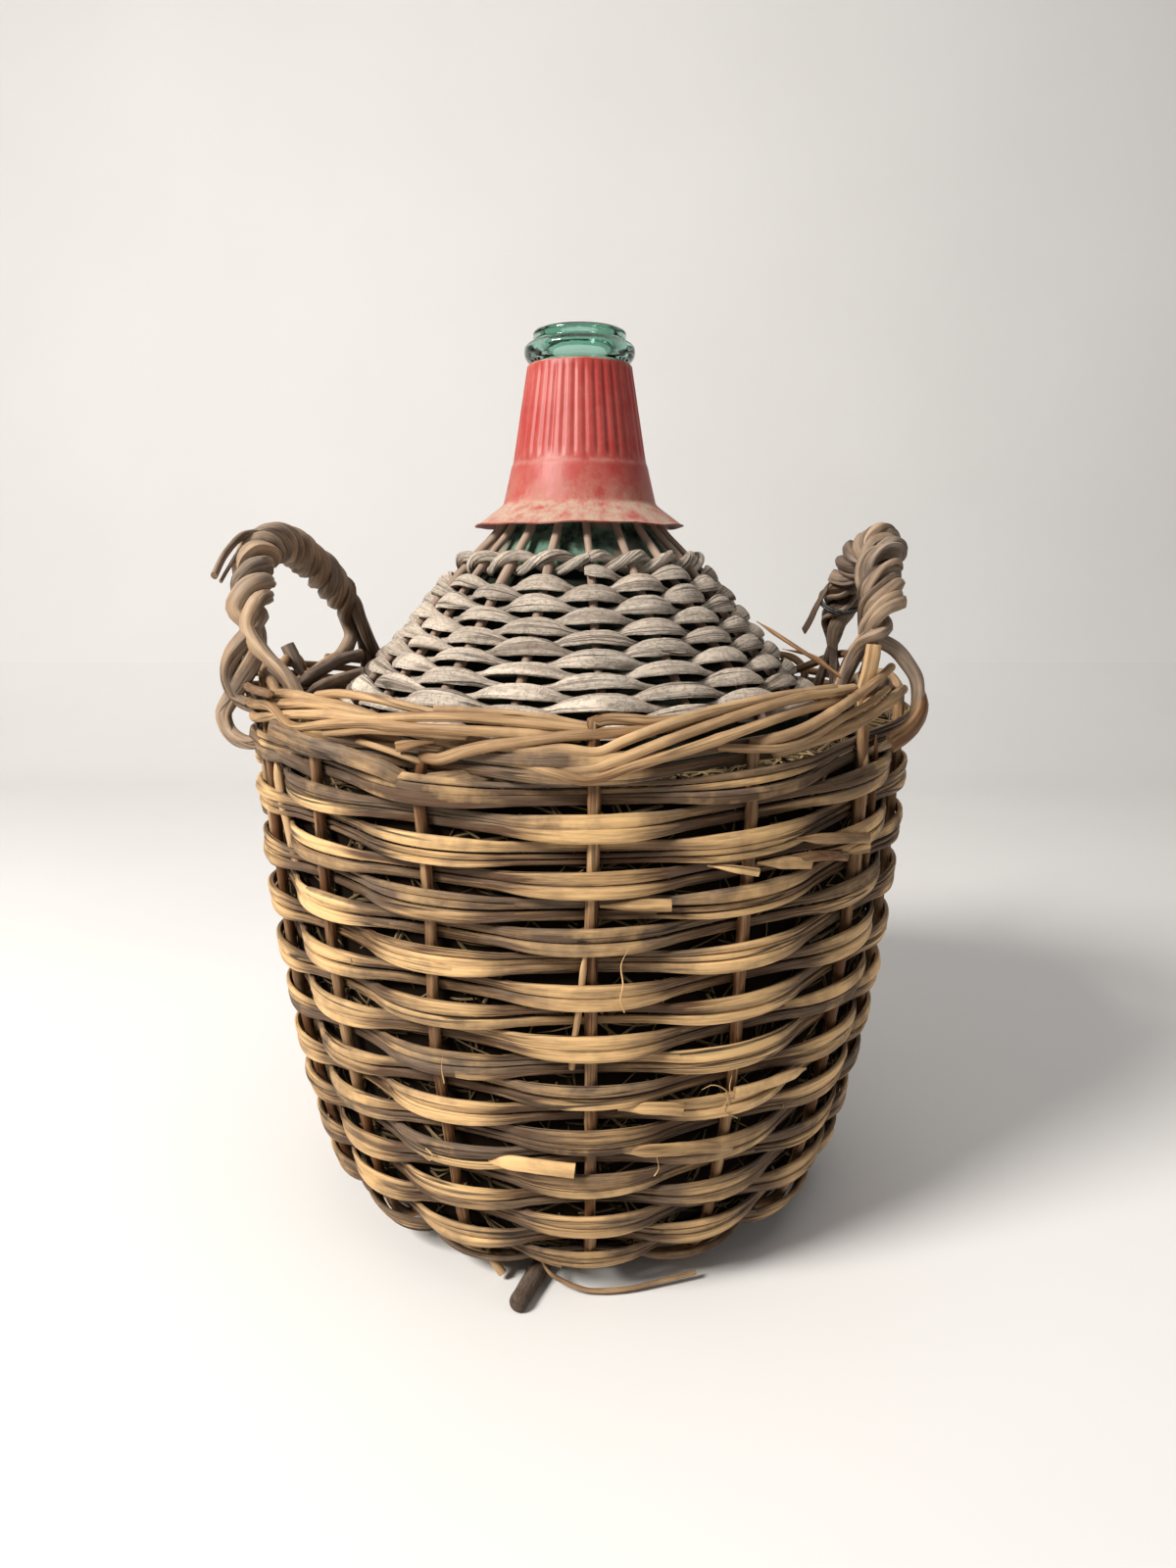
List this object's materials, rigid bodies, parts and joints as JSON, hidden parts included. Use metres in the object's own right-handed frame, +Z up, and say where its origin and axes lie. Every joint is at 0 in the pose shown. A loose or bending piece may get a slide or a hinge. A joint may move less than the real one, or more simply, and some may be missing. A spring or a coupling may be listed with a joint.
{
  "type": "wicker-covered bottle",
  "caption": "Large green glass bottle with a woven willow shoulder cover and a flared neck collar, standing on straw in a round splint basket with twisted rope handles.",
  "frame": {"origin": "on the floor under the middle of the basket, on the bottle's axis and the flat underside of the middle base runner", "axes": "+Z up along the bottle's axis, -Y to the front, where the long base runner sticks out, +X to the right-hand handle"},
  "size_m": [0.377, 0.3779, 0.4907],
  "materials": {
    "green_glass": "polished teal-green glass with small seeds and ripples",
    "red_plastic": "faded red moulded plastic, dusty on its ledges",
    "grey_willow_rod": "weathered grey-brown round willow",
    "grey_willow_strip": "dusty grey-brown skeined willow with long grain cracks",
    "tan_splint": "golden tan split wood with dark grain and cracks",
    "peeled_stake": "reddish brown peeled willow, satin",
    "handle_willow": "brown-grey twisted willow with the bark rubbed off",
    "bark_stick": "dark rough bark, pale end grain",
    "straw": "dry dusty straw",
    "black_wire": "black plastic-coated wire"
  },
  "bodies": {
    "basket": {"base_runner_left": "bark_stick", "base_runner_middle": "bark_stick", "base_runner_right": "bark_stick", "base_weaver": "tan_splint", "foot_ring": "tan_splint", "side_stake_01": "peeled_stake", "side_stake_02": "peeled_stake", "side_stake_03": "peeled_stake", "side_stake_04": "peeled_stake", "side_stake_05": "peeled_stake", "side_stake_06": "peeled_stake", "side_stake_07": "peeled_stake", "side_stake_08": "peeled_stake", "side_stake_09": "peeled_stake", "side_stake_10": "peeled_stake", "side_stake_11": "peeled_stake", "side_stake_12": "peeled_stake", "side_stake_13": "peeled_stake", "side_stake_14": "peeled_stake", "side_stake_15": "peeled_stake", "side_weaver_1": "tan_splint", "side_weaver_2": "tan_splint", "side_weaver_3": "tan_splint", "side_weaver_4": "tan_splint", "straw_packing": "straw", "handle_bow_right": "handle_willow", "handle_strand_right_1": "handle_willow", "handle_strand_right_2": "handle_willow", "handle_strand_right_3": "handle_willow", "handle_bow_left": "handle_willow", "handle_strand_left_1": "handle_willow", "handle_strand_left_2": "handle_willow", "handle_strand_left_3": "handle_willow", "wire_tie": "black_wire"},
    "bottle": {"glass_bottle": "green_glass", "cover_stake_01": "grey_willow_rod", "cover_stake_02": "grey_willow_rod", "cover_stake_03": "grey_willow_rod", "cover_stake_04": "grey_willow_rod", "cover_stake_05": "grey_willow_rod", "cover_stake_06": "grey_willow_rod", "cover_stake_07": "grey_willow_rod", "cover_stake_08": "grey_willow_rod", "cover_stake_09": "grey_willow_rod", "cover_stake_10": "grey_willow_rod", "cover_stake_11": "grey_willow_rod", "cover_stake_12": "grey_willow_rod", "cover_stake_13": "grey_willow_rod", "cover_stake_14": "grey_willow_rod", "cover_stake_15": "grey_willow_rod", "cover_stake_16": "grey_willow_rod", "cover_stake_17": "grey_willow_rod", "cover_stake_18": "grey_willow_rod", "cover_stake_19": "grey_willow_rod", "cover_weaver_1": "grey_willow_strip", "cover_pairing_rod_1": "grey_willow_rod", "cover_weaver_2": "grey_willow_strip", "cover_pairing_rod_2": "grey_willow_rod"},
    "collar": {"neck_collar": "red_plastic"}
  },
  "joints": [
    {"name": "bottle_lift", "type": "slide", "parent": "basket", "child": "bottle", "axis": [0, 0, 1], "range_m": [0, 0.42]},
    {"name": "collar_turn", "type": "hinge", "parent": "bottle", "child": "collar", "pos_m": [0, 0, 0.43], "axis": [0, 0, 1], "continuous": true}
  ]
}
